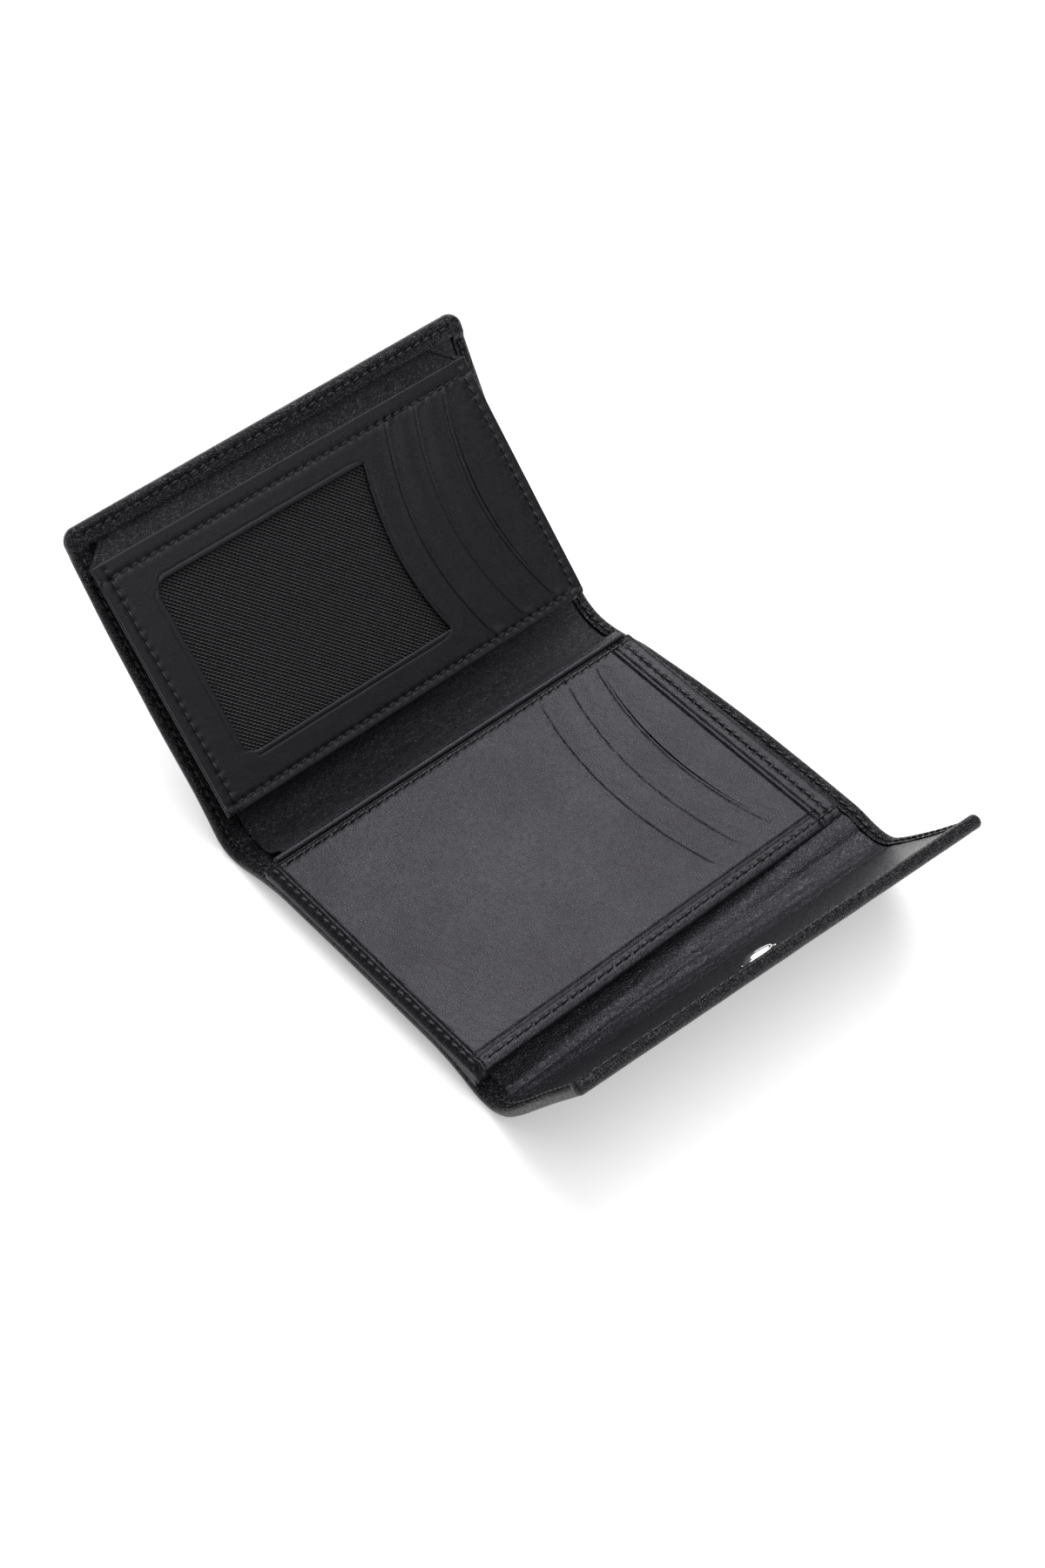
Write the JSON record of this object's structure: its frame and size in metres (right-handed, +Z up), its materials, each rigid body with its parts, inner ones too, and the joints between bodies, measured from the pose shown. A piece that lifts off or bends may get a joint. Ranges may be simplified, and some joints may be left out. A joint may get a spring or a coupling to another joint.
{
  "type": "trifold wallet",
  "caption": "Leather trifold wallet that folds at two spines, with a banknote compartment, a card panel, a swinging identity pouch with a mesh window and a short front flap.",
  "frame": {"origin": "centre of the underside of the middle panel, where the open wallet lies on the table", "axes": "+X along the folds to the open end of the banknote compartment, +Y towards the back panel, +Z up"},
  "size_m": [0.109, 0.1707, 0.0633],
  "materials": {
    "outer_leather": "black smooth leather with a fine grain and a soft sheen",
    "lining_leather": "black soft leather with a visible fine grain",
    "panel_leather": "black smooth calf leather, half matt",
    "pocket_fabric": "black plain woven pocket cloth",
    "window_mesh": "black and grey woven nylon mesh",
    "stiffening_board": "bonded fibre board",
    "polished_metal": "polished silver coloured metal"
  },
  "bodies": {
    "middle_panel": {"middle_outer_leather": "outer_leather", "middle_hem_closed_end": "outer_leather", "middle_hem_open_end": "outer_leather", "middle_board": "stiffening_board", "banknote_end_strip": "lining_leather", "middle_lining": "lining_leather", "card_panel_front": "panel_leather", "card_pocket_backing": "pocket_fabric", "card_pocket_liner_1": "pocket_fabric", "card_pocket_liner_2": "pocket_fabric", "card_pocket_liner_3": "pocket_fabric", "card_edge_closed_end": "panel_leather", "card_edge_open_end": "panel_leather", "card_edge_rear": "panel_leather", "card_edge_front": "panel_leather", "card_panel_piping": "panel_leather"},
    "rear_spine": {"rear_fold_outer_leather": "outer_leather", "rear_fold_hem_closed_end": "outer_leather", "rear_fold_hem_open_end": "outer_leather", "rear_fold_lining": "lining_leather"},
    "back_panel": {"back_outer_leather": "outer_leather", "back_hem_closed_end": "outer_leather", "back_hem_open_end": "outer_leather", "back_top_hem": "outer_leather", "back_board": "stiffening_board", "back_lining": "lining_leather"},
    "identity_pouch": {"pouch_back_wall": "lining_leather", "pouch_front_leather": "panel_leather", "pouch_window_mesh": "window_mesh", "pouch_card_liner": "pocket_fabric", "pouch_edge_closed_end": "panel_leather", "pouch_edge_open_end": "panel_leather", "pouch_edge_bottom": "panel_leather"},
    "front_spine": {"front_fold_outer_leather": "outer_leather", "front_fold_hem_closed_end": "outer_leather", "front_fold_hem_open_end": "outer_leather", "front_fold_lining": "lining_leather"},
    "front_flap": {"flap_outer_leather": "outer_leather", "flap_hem_closed_end": "outer_leather", "flap_hem_open_end": "outer_leather", "flap_rolled_edge": "outer_leather", "flap_board": "stiffening_board", "flap_lining": "lining_leather", "plaque": "polished_metal", "plaque_washer": "polished_metal", "plaque_post_1": "polished_metal", "plaque_post_2": "polished_metal"}
  },
  "joints": [
    {"name": "rear_spine_fold", "type": "hinge", "parent": "middle_panel", "child": "rear_spine", "pos_m": [0, 0.03865, 0.0005], "axis": [1, 0, 0], "range_deg": [0, 90]},
    {"name": "back_panel_fold", "type": "hinge", "parent": "rear_spine", "child": "back_panel", "pos_m": [0, 0.05245, 0.0005], "axis": [1, 0, 0], "range_deg": [-50.8, 33.2]},
    {"name": "pouch_swing", "type": "hinge", "parent": "back_panel", "child": "identity_pouch", "pos_m": [0, 0.09744, 0.05994], "axis": [1, 0, 0], "range_deg": [-95, 4.2]},
    {"name": "front_spine_fold", "type": "hinge", "parent": "middle_panel", "child": "front_spine", "pos_m": [0, -0.03865, 0.0005], "axis": [-1, 0, 0], "range_deg": [-41.5, 48.5]},
    {"name": "flap_fold", "type": "hinge", "parent": "front_spine", "child": "front_flap", "pos_m": [0, -0.04831, 0.00905], "axis": [-1, 0, 0], "range_deg": [-12.8, 77.2]}
  ]
}
